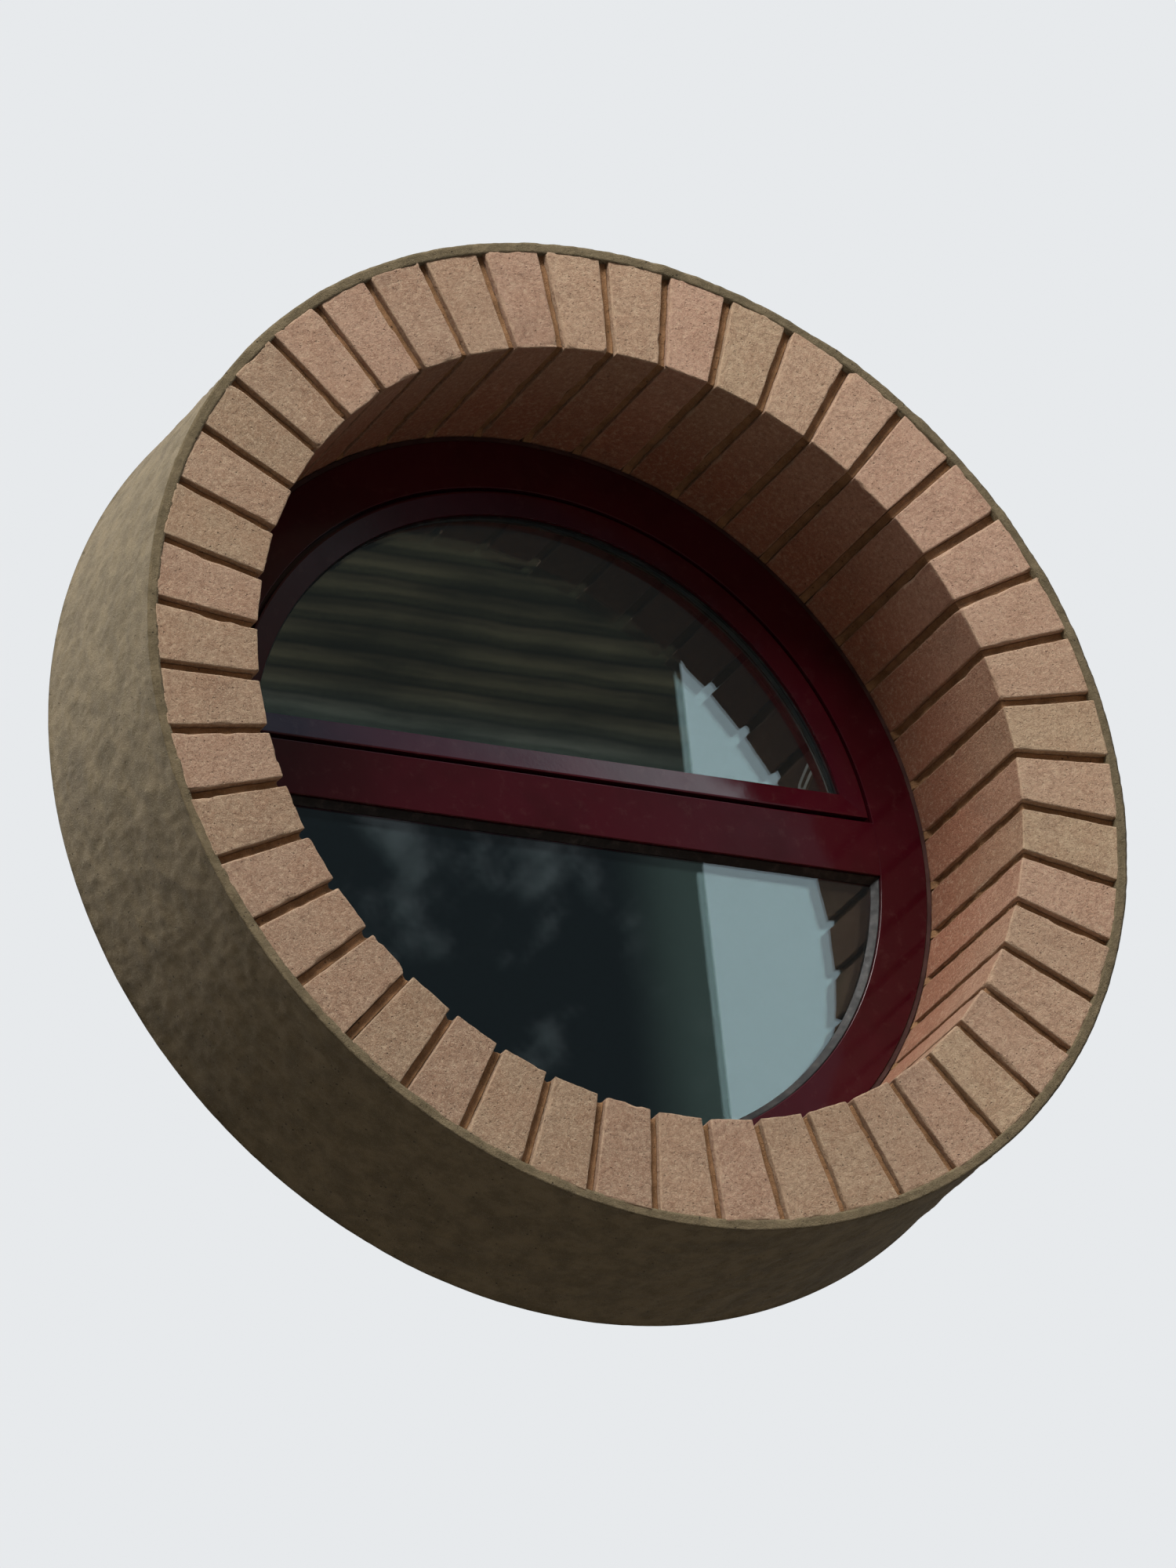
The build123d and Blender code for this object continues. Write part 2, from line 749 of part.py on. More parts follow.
# The window, node by node
def masonry_nodes():
    """The ring of bricks and what fills its joints."""
    sealant_front = front + profile_arris
    sealant_back = sealant_front + sealant_depth
    return {
        "ring_bricks": bricks(),
        "joint_mortar": joint_mortar(),
        "rim_mortar": rim_mortar(),
        "perimeter_sealant": perimeter_ring(sealant_front, sealant_back),
        "perimeter_foam": perimeter_ring(sealant_back, ring_depth),
    }


def frame_nodes():
    """The fixed frame and what fastens it."""
    cleats = both_sides(transom_cleat())
    end_screws = mirrored([end_screw(y) for y in end_screw_depths()])
    stay_holes = mirrored(screws(stay_foot_screws(), hairline))
    leaf_holes = screws(at_both_hinges(frame_leaf_screws), hairline)
    return {
        "frame_ring": frame_ring() - stay_holes - screws(keeper_screw_places(), hairline),
        "frame_anchors": group([Rot(0, angle, 0) * anchor() for angle in anchor_angles]),
        "anchor_caps": group([Rot(0, angle, 0) * anchor_cap() for angle in anchor_angles]),
        "transom": transom() - leaf_holes,
        "transom_cleats": group(cleats),
        "transom_screws": group(end_screws),
    }


def fixed_pane_nodes():
    """The pane below the transom, with what holds it."""
    curved, straight = beads(lower, 0, frame_back)
    return {
        "lower_outer_gasket": lower_outer_gasket(),
        "lower_outer_pane": pane(lower, 0, glass_front),
        "lower_spacer": spacer(lower, 0),
        "lower_edge_seal": edge_seal(lower, 0),
        "lower_inner_pane": pane(lower, 0, cavity_back),
        "lower_inner_gasket": inner_gasket(lower, 0),
        "lower_setting_blocks": lower_setting_blocks(),
        "lower_curved_bead": curved,
        "lower_straight_bead": straight,
    }


def sash_nodes():
    """The sash above the transom, with its pane and seals."""
    bent, rail = sash_profiles()
    curved, straight = beads(upper, sash_lip_edge, sash_back)
    bracket_holes = mirrored(screws(bracket_screws(), hairline))
    leaf_holes = screws(at_both_hinges(sash_leaf_screws), hairline)
    return {
        "sash_bent_profile": bent - bracket_holes - screws(catch_screw_places(), hairline),
        "sash_bottom_rail": rail - leaf_holes,
        "sash_corner_cleats": sash_corner_cleats(),
        "sash_outer_seal": sash_outer_seal(),
        "sash_inner_seal": sash_inner_seal(),
        "sash_outer_gasket": sash_outer_gasket(),
        "sash_outer_pane": pane(upper, sash_lip_edge, glass_front),
        "sash_spacer": spacer(upper, sash_lip_edge),
        "sash_edge_seal": edge_seal(upper, sash_lip_edge),
        "sash_inner_pane": pane(upper, sash_lip_edge, cavity_back),
        "sash_inner_gasket": inner_gasket(upper, sash_lip_edge),
        "sash_setting_blocks": sash_setting_blocks(),
        "sash_curved_bead": curved,
        "sash_straight_bead": straight,
    }


def hinge_nodes():
    """The two hinges."""
    nodes = {}
    places = {"left": -hinge_place, "right": hinge_place}
    for side, x in places.items():
        nodes["hinge_frame_leaf_" + side] = frame_leaf(x)
        nodes["hinge_sash_leaf_" + side] = sash_leaf(x)
        nodes["hinge_pin_" + side] = hinge_pin(x)
    nodes["hinge_frame_screws"] = group(screws(at_both_hinges(frame_leaf_screws)))
    nodes["hinge_sash_screws"] = group(screws(at_both_hinges(sash_leaf_screws)))
    return nodes


def catch_nodes():
    """The catch at the top of the sash and its keeper."""
    return {
        "catch_plate": catch_plate_piece(),
        "catch_pivot": catch_pivot(),
        "catch_handle": catch_handle(),
        "catch_screws": group(screws(catch_screw_places())),
        "keeper": keeper(),
        "keeper_screws": group(screws(keeper_screw_places())),
    }


def stay_nodes():
    """The two stays."""
    nodes = {}
    pieces = {"stay_quadrant": stay_quadrant(), "stay_bracket": stay_bracket(), "stay_stud": stay_stud()}
    for name, piece in pieces.items():
        nodes[name + "_right"], nodes[name + "_left"] = both_sides(piece)
    nodes["stay_frame_screws"] = group(mirrored(screws(stay_foot_screws())))
    nodes["stay_sash_screws"] = group(mirrored(screws(bracket_screws())))
    return nodes


os.makedirs("parts", exist_ok=True)
sections = (masonry_nodes, frame_nodes, fixed_pane_nodes, sash_nodes, hinge_nodes, catch_nodes, stay_nodes)
for section in sections:
    for name, shape in section().items():
        export_step(shape, "parts/" + name + ".step")
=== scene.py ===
"""Looks for the porthole window: weathered brick and mortar, lacquer, glass, seals and hardware."""
import json
import math
import random

import bpy
from mathutils import Matrix, Vector, noise


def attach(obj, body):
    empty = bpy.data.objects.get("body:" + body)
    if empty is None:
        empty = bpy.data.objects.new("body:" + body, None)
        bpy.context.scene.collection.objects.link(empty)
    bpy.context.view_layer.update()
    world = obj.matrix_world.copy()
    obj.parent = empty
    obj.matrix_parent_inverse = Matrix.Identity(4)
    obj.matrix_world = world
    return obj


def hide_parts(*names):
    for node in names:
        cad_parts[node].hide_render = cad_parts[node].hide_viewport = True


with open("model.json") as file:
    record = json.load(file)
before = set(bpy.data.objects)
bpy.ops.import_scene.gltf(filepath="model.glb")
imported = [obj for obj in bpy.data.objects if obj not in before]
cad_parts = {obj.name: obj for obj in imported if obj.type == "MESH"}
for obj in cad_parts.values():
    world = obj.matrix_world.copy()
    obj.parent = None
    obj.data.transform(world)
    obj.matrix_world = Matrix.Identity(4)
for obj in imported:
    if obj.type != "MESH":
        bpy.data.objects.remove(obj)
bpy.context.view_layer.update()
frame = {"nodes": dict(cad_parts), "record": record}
scene = bpy.context.scene

# Sizes of the solids, in metres and degrees.
# Angles turn clockwise from the top of the ring, as seen from outside.
OPENING_RADIUS = 0.440
BRICK_COUNT = 47
BRICK_LENGTH = 0.115
RING_DEPTH = 0.240
JOINT_WIDTH = 0.009
RIM_JOINT = 0.010
FRONT_RAKE = 0.008
SOFFIT_RAKE = 0.005
FLUSH_RAKE = 0.001
FIRST_BRICK = 5.1
FRAME_FRONT = 0.200
PANE_FRONT = 0.210
RING_RADIUS = OPENING_RADIUS + BRICK_LENGTH
RIM_RADIUS = RING_RADIUS + RIM_JOINT
PITCH = 360 / BRICK_COUNT

# Wear of a brick, in metres and shares. Pairs are waves of noise in a metre and their height
ARRIS_RADIUS = 0.0020
ARRIS_WAVES = (130, 0.0009)
ARRIS_SHARE = 0.3
CHIP_RADIUS = 0.0030
CHIP_WAVES = (48, 1.0)
CHIP_START = 0.30
CHIP_GROWTH = 8
CHIP_MOST = 1.3
SWELL_WAVES = (26, 0.0006)
GRAIN_WAVES = (90, 0.00045)

# How unevenly the bricks are laid: lengths in metres, and slopes
MOST_SINK = 0.0012
MOST_LIFT = 0.0008
LIFT_FADES = 0.03
MOST_LEAN = 0.006
MOST_SKEW = 0.003

# Darkening of a brick's face, from 0 to 1: dirt, a share by chance, and painted shade, more towards one side
# of the ring
DIRT_AND_SHADE_MEAN = 0.18
DIRT_BY_CHANCE = 0.43
DIRT_RARITY = 1.6
SIDE_SHADE = 0.55
DARKEST_SIDE_ANGLE = 246

# How far a brick takes the soffit's redder colour and painted shade, darker deeper in the reveal and higher
# in the ring. Pairs are where a rise starts and where it is full, in metres
SOFFIT_SHADE_AT_BOTTOM = 0.85
SOFFIT_SHADE_IN_FRONT = 0.55
SOFFIT_EDGE = (0.0008, 0.004)
FACE_EDGE = (0.0005, 0.006)
SOFFIT_SHADE_DEPTHS = (0.02, 0.16)
SOFFIT_SHADE_LEVELS = (-0.40, 0.20)

# Lattices of the masonry, in metres: steps near each edge, the width of that zone, and the steps between
BRICK_EDGE_STEPS = 5
BRICK_EDGE_ZONE = 0.006
BRICK_STEPS = (0.006, 0.0085, 0.0085)
JOINT_EDGE_STEPS = 2
JOINT_EDGE_ZONES = (0.002, 0.004, 0.004)
JOINT_STEPS = (0.0017, 0.006, 0.006)
RIM_STEPS_AROUND = 1080
RIM_STEPS_DEEP = 60
RIM_STEPS_WIDE = 4
RIM_LAP = 0.002

# Relief of the joints' mortar, in metres and as shares of its roughness
JOINT_HOLLOW = 0.0015
JOINT_SAND_WAVES = (60, 0.0011)
JOINT_GRAIN_WAVES = (190, 0.0007)
JOINT_FRONT_SHARE = 1.6
JOINT_SOFFIT_SHARE = 1.4
JOINT_MOST_PROUD = 0.002
FLUSH_RUN = 0.006

# Relief of the rim, as shares, and its depth on each side in metres
RIM_MEAN = 0.5
RIM_SWELL_WAVES = (22, 0.45)
RIM_LUMP_WAVES = (62, 0.4)
RIM_GRAIN_WAVES = (150, 0.3)
RIM_FRONT_RELIEF = 0.0022
RIM_BACK_RELIEF = 0.001
RIM_OUTER_RELIEF = 0.0030
RIM_ARRIS_RELIEF = 0.0006
RIM_ARRIS_ZONE = 0.002

# Each brick and each joint reads the noise at its own place, drawn within this span
NOISE_SPAN = 50
BRICK_SEED = 1000
JOINT_SEED = 2000

# Camera: where the photograph was taken from, aimed at the middle of the object
CAMERA_PLACE = Vector((-5.614, -9.668, -5.621))
CAMERA_AIM = Vector((-0.0113, 0.1129, -0.0111))
CAMERA_ROLL_DEGREES = -6.2
CAMERA_LENS_MM = 280.0
CAMERA_SENSOR_MM = 36.0

# Stage, in metres: the floor lies far below, and the panes mirror cards that stand in front of the window
FLOOR_LEVEL = -7.2
FLOOR_SIZE = 80
ROOM_DEPTH = 1.0
ROOM_SIZE = 7
MIRRORED_DEPTH = -3.5
HOUSE_SIZE = 1.9
STREET_ACROSS = 0.2
STREET_BEHIND = 0.05
STREET_SIZE = (14.0, 6.8)
SKY_BEFORE = 0.02
SKY_FOOT_IN_PANES = (0.172, -0.5)
SKY_TOP_IN_PANES = (0.322, 0.5)
HIGH_SKY_PLACE = Vector((3.4, -3.05, 3.9))
HIGH_SKY_SIZE = (4.0, 2.2)


# Node trees
class Tree:
    """Builds the nodes of a material or a world. Inputs are values or other nodes' outputs."""

    def __init__(self, name, kind="materials"):
        self.owner = getattr(bpy.data, kind).new(name)
        self.owner.use_nodes = True
        self.tree = self.owner.node_tree
        self.tree.nodes.clear()

    def add(self, kind, settings=None, **inputs):
        """Adds a node. An input is named with _ for each space, or i and its number where names repeat."""
        node = self.tree.nodes.new("ShaderNode" + kind)
        for key, value in (settings or {}).items():
            setattr(node, key, value)
        for key, value in inputs.items():
            numbered = key[0] == "i" and key[1:].isdigit()
            socket = node.inputs[int(key[1:]) if numbered else key.replace("_", " ")]
            if isinstance(value, bpy.types.NodeSocket):
                self.tree.links.new(value, socket)
            else:
                socket.default_value = value
        return node

    def place(self):
        return self.add("TexCoord").outputs["Object"]

    def noise(self, scale, detail=3.0, roughness=0.55, vector=None):
        node = self.add("TexNoise", Vector=vector or self.place(), Scale=scale, Detail=detail,
                        Roughness=roughness)
        return node.outputs["Fac"]

    def cells(self, scale, vector=None):
        return self.add("TexVoronoi", Vector=vector or self.place(), Scale=scale).outputs["Distance"]

    def range(self, value, low, high, to_low=0.0, to_high=1.0, smooth=False):
        node = self.add("MapRange", {"interpolation_type": "SMOOTHSTEP" if smooth else "LINEAR"}, Value=value,
                        From_Min=low, From_Max=high, To_Min=to_low, To_Max=to_high)
        return node.outputs["Result"]

    def math(self, operation, first, second):
        return self.add("Math", {"operation": operation}, i0=first, i1=second).outputs["Value"]

    def inverse(self, mask):
        return self.math("SUBTRACT", 1.0, mask)

    def mix(self, factor, first, second):
        return self.add("Mix", {"data_type": "RGBA"}, i0=factor, i6=first, i7=second).outputs[2]

    def tinted(self, colour, mask, most, tint):
        """A colour turned towards a tint where the mask is 1, by this share at most."""
        return self.mix(self.math("MULTIPLY", mask, most), colour, tint)

    def attribute(self, name, output="Fac"):
        return self.add("Attribute", {"attribute_name": name}).outputs[output]

    def relief(self, *layers):
        """The normal of bumps laid over each other: each a height, its depth in metres and its strength."""
        normal = None
        for height, depth, strength in layers:
            under = {"Normal": normal} if normal else {}
            bump = self.add("Bump", Height=height, Distance=depth, Strength=strength, **under)
            normal = bump.outputs["Normal"]
        return normal

    def output(self, shader, kind="OutputMaterial"):
        self.add(kind, Surface=shader.outputs[0])
        return self.owner

    def glow(self, colour, strength=1.0):
        return self.output(self.add("Emission", Color=colour, Strength=strength))

    def surface(self, **inputs):
        return self.output(self.add("BsdfPrincipled", **inputs))


def rgb(red, green, blue):
    """A colour written in sRGB from 0 to 255, as the shader's linear value."""
    def linear(value):
        value /= 255
        return value / 12.92 if value <= 0.04045 else ((value + 0.055) / 1.055) ** 2.4
    return (linear(red), linear(green), linear(blue), 1.0)


# Materials
def brick_material():
    """Sandy clay: tone and dirt differ from brick to brick, with painted shade towards the ring's lower left;
    the soffit is redder and darker, partly its own colour and partly painted shade.
    """
    t = Tree("brick")
    tone, dirt_and_side_shade, soffit_and_shade, pale_arris = (t.attribute(name) for name in ("tone", "dirt_and_side_shade", "soffit_and_shade", "pale_arris"))
    local = t.attribute("local", "Vector")
    face = t.mix(tone, rgb(179, 152, 122), rgb(193, 154, 131))
    # Dirt by chance, and painted shade that darkens the bricks towards the ring's lower left
    face = t.tinted(face, dirt_and_side_shade, 0.75, rgb(140, 116, 92))
    # The soffit's colour: partly its own redder clay, partly painted shade, taken more deeply in the reveal
    # and higher in the ring
    soffit = t.mix(tone, rgb(140, 85, 59), rgb(160, 100, 73))
    colour = t.mix(soffit_and_shade, face, soffit)

    clouds = t.range(t.noise(24, 6, 0.68, local), 0.40, 0.64, smooth=True)
    colour = t.tinted(colour, clouds, 0.26, rgb(150, 106, 78))
    fired = t.range(t.noise(11, 3, 0.6, local), 0.56, 0.72, smooth=True)
    colour = t.tinted(colour, fired, 0.25, rgb(116, 86, 68))
    crumbs = t.noise(185, 5, 0.75, local)
    colour = t.mix(t.range(crumbs, 0.50, 0.68, 0.0, 0.50), colour, rgb(116, 80, 58))
    colour = t.mix(t.range(crumbs, 0.48, 0.32, 0.0, 0.42), colour, rgb(212, 188, 158))

    sand = t.inverse(t.range(t.cells(560, local), 0.12, 0.42))
    # Fewer pale specks on the soffit, as part of its painted shade
    colour = t.tinted(colour, sand, t.range(soffit_and_shade, 0.0, 1.0, 0.34, 0.14), rgb(216, 196, 170))
    specks = t.inverse(t.range(t.cells(240, local), 0.07, 0.19))
    gathered = t.math("MULTIPLY", specks, t.range(t.noise(50, 2, 0.5, local), 0.40, 0.54))
    colour = t.tinted(colour, gathered, 0.8, rgb(72, 46, 36))
    # Paler on the arrises
    colour = t.tinted(colour, pale_arris, 0.3, rgb(202, 172, 142))

    grain = t.noise(620, 4, 0.75, local)
    pits = t.range(t.cells(130, local), 0.03, 0.17, smooth=True)
    normal = t.relief((t.noise(60, 6, 0.7, local), 0.0026, 0.8), (crumbs, 0.0022, 0.9), (pits, 0.0020, 0.9),
                      (grain, 0.0009, 0.9))
    return t.surface(Base_Color=colour, Roughness=t.range(grain, 0.3, 0.7, 0.84, 0.97), Normal=normal)


def mortar_material(name, dark, light, sand, stain):
    """Sand and cement: grains in the surface, blotches where it dried unevenly, and painted shade in its
    pits.
    """
    t = Tree(name)
    colour = t.mix(t.range(t.noise(38, 6, 0.7), 0.36, 0.64, smooth=True), dark, light)
    colour = t.mix(t.range(t.noise(9, 4, 0.6), 0.52, 0.72, 0.0, 0.45, smooth=True), colour, stain)
    between_grains = t.range(t.cells(620), 0.10, 0.38)
    # Paler on the raised grains
    grain_tops = t.math("MULTIPLY", t.inverse(between_grains), t.range(t.noise(210, 2), 0.38, 0.60))
    colour = t.tinted(colour, grain_tops, 0.75, sand)
    solid = t.range(t.cells(95), 0.03, 0.13, smooth=True)
    # Painted shade: darker in the pits
    colour = t.tinted(colour, t.inverse(solid), 0.6, rgb(62, 50, 38))
    gritty = t.math("ADD", t.math("MULTIPLY", between_grains, -0.5), t.noise(520, 4, 0.7))
    normal = t.relief((t.noise(110, 6, 0.75), 0.0030, 0.8), (solid, 0.0022, 0.9), (gritty, 0.0010, 0.9))
    return t.surface(Base_Color=colour, Roughness=0.95, Normal=normal)


def lacquer_material():
    """Dark red gloss with a little dust and a faint orange peel."""
    t = Tree("lacquer")
    colour = t.mix(t.range(t.noise(9, 3), 0.4, 0.65, smooth=True), rgb(61, 9, 20), rgb(54, 8, 16))
    dust = t.range(t.noise(55, 5, 0.7), 0.52, 0.78, smooth=True)
    colour = t.tinted(colour, dust, 0.06, rgb(150, 118, 108))
    return t.surface(Base_Color=colour, Roughness=t.range(t.noise(30, 4, 0.6), 0.3, 0.7, 0.10, 0.15),
                     Specular_IOR_Level=0.36, Normal=t.relief((t.noise(260, 2, 0.5), 0.0001, 0.2)))


def glass_material():
    return Tree("glass").surface(Base_Color=(0.86, 0.93, 0.90, 1.0), Roughness=0.0, IOR=1.52,
                                 Transmission_Weight=1.0)


def rubber_material(name, colour, roughness):
    t = Tree(name)
    dust = t.range(t.noise(60, 4, 0.7), 0.45, 0.75, smooth=True)
    return t.surface(Base_Color=t.tinted(colour, dust, 0.25, rgb(98, 92, 86)),
                     Roughness=t.range(t.noise(140, 3), 0.3, 0.7, roughness - 0.08, roughness + 0.12),
                     Specular_IOR_Level=0.25, Normal=t.relief((t.noise(520, 3, 0.6), 0.0002, 0.5)))


def sealant_material():
    t = Tree("sealant")
    colour = t.mix(t.range(t.noise(40, 4), 0.4, 0.7, smooth=True), rgb(58, 34, 32), rgb(74, 50, 46))
    return t.surface(Base_Color=colour, Roughness=0.5, Normal=t.relief((t.noise(130, 3), 0.0008, 0.6)))


def foam_material():
    t = Tree("foam")
    bubbles = t.range(t.cells(330), 0.05, 0.4)
    # Painted shade: darker in the bubbles' hollows
    return t.surface(Base_Color=t.mix(bubbles, rgb(150, 112, 58), rgb(222, 196, 132)), Roughness=0.9,
                     Normal=t.relief((bubbles, 0.0015, 0.9)))


def metal_material(name, colour, roughness):
    """Bare metal with a fine grain, duller where it was handled."""
    t = Tree(name)
    grain = t.noise(900, 3, 0.6)
    smudge = t.range(t.noise(45, 4, 0.6), 0.4, 0.7, smooth=True)
    rough = t.math("ADD", t.range(grain, 0.3, 0.7, roughness - 0.08, roughness + 0.1),
                   t.math("MULTIPLY", smudge, 0.08))
    return t.surface(Base_Color=t.tinted(colour, smudge, 0.25, rgb(120, 116, 108)), Metallic=1.0,
                     Roughness=rough, Normal=t.relief((grain, 0.00008, 0.5)))


def painted_material(name, colour, roughness):
    t = Tree(name)
    grain = t.noise(420, 3, 0.6)
    dust = t.range(t.noise(50, 4, 0.7), 0.5, 0.75, smooth=True)
    return t.surface(Base_Color=t.tinted(colour, dust, 0.2, rgb(112, 106, 98)),
                     Roughness=t.range(grain, 0.3, 0.7, roughness - 0.06, roughness + 0.08),
                     Normal=t.relief((grain, 0.0001, 0.5)))


def plastic_material():
    t = Tree("plastic")
    grain = t.noise(800, 2, 0.5)
    colour = t.mix(t.range(t.noise(60, 3), 0.4, 0.7), rgb(42, 42, 43), rgb(56, 55, 54))
    return t.surface(Base_Color=colour, Roughness=t.range(grain, 0.3, 0.7, 0.45, 0.62),
                     Normal=t.relief((grain, 0.0001, 0.5)))


materials = {
    "brick": brick_material(),
    "mortar": mortar_material("mortar", dark=rgb(130, 94, 60), light=rgb(156, 116, 80),
                              sand=rgb(184, 150, 112), stain=rgb(110, 78, 52)),
    "rim_mortar": mortar_material("rim_mortar", dark=rgb(100, 87, 62), light=rgb(122, 107, 80),
                                  sand=rgb(156, 142, 114), stain=rgb(84, 72, 52)),
    "sealant": sealant_material(),
    "foam": foam_material(),
    "lacquer": lacquer_material(),
    "bare_aluminium": metal_material("bare_aluminium", rgb(96, 96, 98), 0.42),
    "glass": glass_material(),
    "edge_seal": rubber_material("edge_seal", rgb(30, 30, 30), 0.6),
    "gasket": rubber_material("gasket", rgb(26, 26, 27), 0.5),
    "plastic": plastic_material(),
    "hardware": metal_material("hardware", rgb(74, 72, 70), 0.38),
    "dark_steel": painted_material("dark_steel", rgb(50, 50, 52), 0.50),
    "steel": metal_material("steel", rgb(188, 186, 180), 0.3),
}

slots = {row["node"]: row["material_slot"] for row in frame["record"]["subparts"]}
for name, node in frame["nodes"].items():
    for slot in node.material_slots:
        slot.material = materials[slots[name]]


# Masonry pieces
def steps(length, fine, edge, coarse):
    """Stations along a length: a number of fine steps in the zone at each edge, and coarse ones between."""
    near = [edge * k / fine for k in range(fine + 1)]
    count = max(1, round((length - 2 * edge) / coarse))
    middle = [edge + (length - 2 * edge) * k / count for k in range(1, count)]
    return near + middle + [length - value for value in reversed(near)]


def lattice(stations):
    """The points and outward quads on the outside of a block, from the stations along each side."""
    last = [len(line) - 1 for line in stations]
    index, points, quads = {}, [], []

    def vertex(cell):
        if cell not in index:
            index[cell] = len(points)
            points.append([stations[axis][cell[axis]] for axis in range(3)])
        return index[cell]

    for axis in range(3):
        first, second = [(1, 2), (2, 0), (0, 1)][axis]
        for end in (0, last[axis]):
            for i in range(last[first]):
                for j in range(last[second]):
                    corners = []
                    for di, dj in ((0, 0), (1, 0), (1, 1), (0, 1)):
                        cell = [0, 0, 0]
                        cell[axis], cell[first], cell[second] = end, i + di, j + dj
                        corners.append(vertex(tuple(cell)))
                    quads.append(corners if end else corners[::-1])
    return points, quads


def make_piece(name, vertices, faces, material, replaced, values=None, places=None):
    """A mesh that stands for a node. values and places hold what its material reads at each point."""
    mesh = bpy.data.meshes.new(name)
    mesh.from_pydata([tuple(v) for v in vertices], [], faces)
    mesh.polygons.foreach_set("use_smooth", [True] * len(mesh.polygons))
    for key, row in (values or {}).items():
        mesh.attributes.new(key, "FLOAT", "POINT").data.foreach_set("value", row)
    for key, row in (places or {}).items():
        flat = [c for place in row for c in place]
        mesh.attributes.new(key, "FLOAT_VECTOR", "POINT").data.foreach_set("vector", flat)
    mesh.materials.append(material)
    piece = bpy.data.objects.new(name, mesh)
    scene.collection.objects.link(piece)
    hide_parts(replaced)
    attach(piece, "frame")


def ramp(value, low, high):
    """0 below low, 1 above high, and a smooth rise between."""
    t = min(1.0, max(0.0, (value - low) / (high - low)))
    return t * t * (3 - 2 * t)


def waves(point, count, height, lift=0.0):
    """Noise with this many waves in a metre."""
    return height * (lift + noise.noise(point * count))


def drawn_place(rng):
    return Vector([rng.uniform(0, NOISE_SPAN) for _ in range(3)])


def turned(point, angle):
    """A point at the top of the ring, turned clockwise to its place."""
    a = math.radians(angle)
    x, y, z = point
    return (x * math.cos(a) + z * math.sin(a), y, z * math.cos(a) - x * math.sin(a))


def brick_half_width(radius):
    half_pitch = math.pi / BRICK_COUNT
    return radius * math.tan(half_pitch) - JOINT_WIDTH / 2 / math.cos(half_pitch)


def worn(p, q, half):
    """A point p of a block after its arrises are worn, which the noise at q decides, and 1.0 if it lies on an
    arris.
    """
    chip = max(0.0, waves(q, *CHIP_WAVES) - CHIP_START) * CHIP_GROWTH
    radius = ARRIS_RADIUS + waves(q, *ARRIS_WAVES) + CHIP_RADIUS * min(CHIP_MOST, chip)
    core = Vector([max(radius - h, min(h - radius, c)) for c, h in zip(p, half)])
    direction = (p - core).normalized()
    rough = waves(q, *SWELL_WAVES, lift=0.5) + waves(q, *GRAIN_WAVES, lift=0.5)
    on_arris = sum(abs(c) > ARRIS_SHARE for c in direction) > 1
    return core + direction * (radius - max(0.0, rough)), float(on_arris)


def dirt_and_side_shade_at(angle, chance):
    """How dark a brick's face is: dirt by chance, and painted shade by its place in the ring."""
    side = math.cos(math.radians(angle - DARKEST_SIDE_ANGLE))
    return min(1.0, max(0.0, DIRT_AND_SHADE_MEAN + DIRT_BY_CHANCE * chance + SIDE_SHADE * side))


def soffit_and_shade_at(rise, depth, level):
    """How far a place takes the soffit's colour and painted shade, by its rise above the soffit, depth behind
    the face and level in the ring.
    """
    on_soffit = 1 - ramp(rise, *SOFFIT_EDGE)
    by_level = SOFFIT_SHADE_AT_BOTTOM + (1 - SOFFIT_SHADE_AT_BOTTOM) * ramp(level, *SOFFIT_SHADE_LEVELS)
    by_depth = SOFFIT_SHADE_IN_FRONT + (1 - SOFFIT_SHADE_IN_FRONT) * ramp(depth, *SOFFIT_SHADE_DEPTHS)
    return on_soffit * by_level * ramp(depth, *FACE_EDGE) * by_depth


def make_bricks():
    """Each brick as a block with worn, uneven arrises and rough faces, tapered to its place in the ring."""
    size = (2 * brick_half_width(OPENING_RADIUS + BRICK_LENGTH / 2), RING_DEPTH, BRICK_LENGTH)
    points, quads = lattice([steps(length, BRICK_EDGE_STEPS, BRICK_EDGE_ZONE, step)
                             for length, step in zip(size, BRICK_STEPS)])
    half = [length / 2 for length in size]
    for number in range(BRICK_COUNT):
        rng = random.Random(BRICK_SEED + number)
        offset = drawn_place(rng)
        tone, chance = rng.random(), rng.random() ** DIRT_RARITY
        sink, lift = rng.uniform(0.0, MOST_SINK), rng.uniform(0.0, MOST_LIFT)
        lean, skew = rng.uniform(-MOST_LEAN, MOST_LEAN), rng.uniform(-MOST_SKEW, MOST_SKEW)
        angle = FIRST_BRICK + PITCH * number
        vertices, soffit_and_shade, pale_arris, local = [], [], [], []
        for point in points:
            p = Vector([c - h for c, h in zip(point, half)])
            local.append(p + offset)
            p, on_arris = worn(p, local[-1], half)
            z = p.z + half[2] + OPENING_RADIUS
            x = p.x * (brick_half_width(z) / half[0])
            y = p.y + half[1]
            y += (sink + lean * x + skew * (z - OPENING_RADIUS)) * (1 - y / RING_DEPTH)
            y = min(RING_DEPTH, max(0.0, y))
            z += lift * (1 - ramp(z, OPENING_RADIUS, OPENING_RADIUS + LIFT_FADES))
            vertices.append(turned((x, y, z), angle))
            # How far each point takes the soffit's colour and painted shade
            soffit_and_shade.append(soffit_and_shade_at(z - OPENING_RADIUS, y, vertices[-1][2]))
            pale_arris.append(on_arris)
        values = {"tone": [tone] * len(points), "dirt_and_side_shade": [dirt_and_side_shade_at(angle, chance)] * len(points),
                  "soffit_and_shade": soffit_and_shade, "pale_arris": pale_arris}
        make_piece(f"brick_{number + 1:02d}", vertices, quads, materials["brick"], "ring_bricks",
                   values, {"local": local})


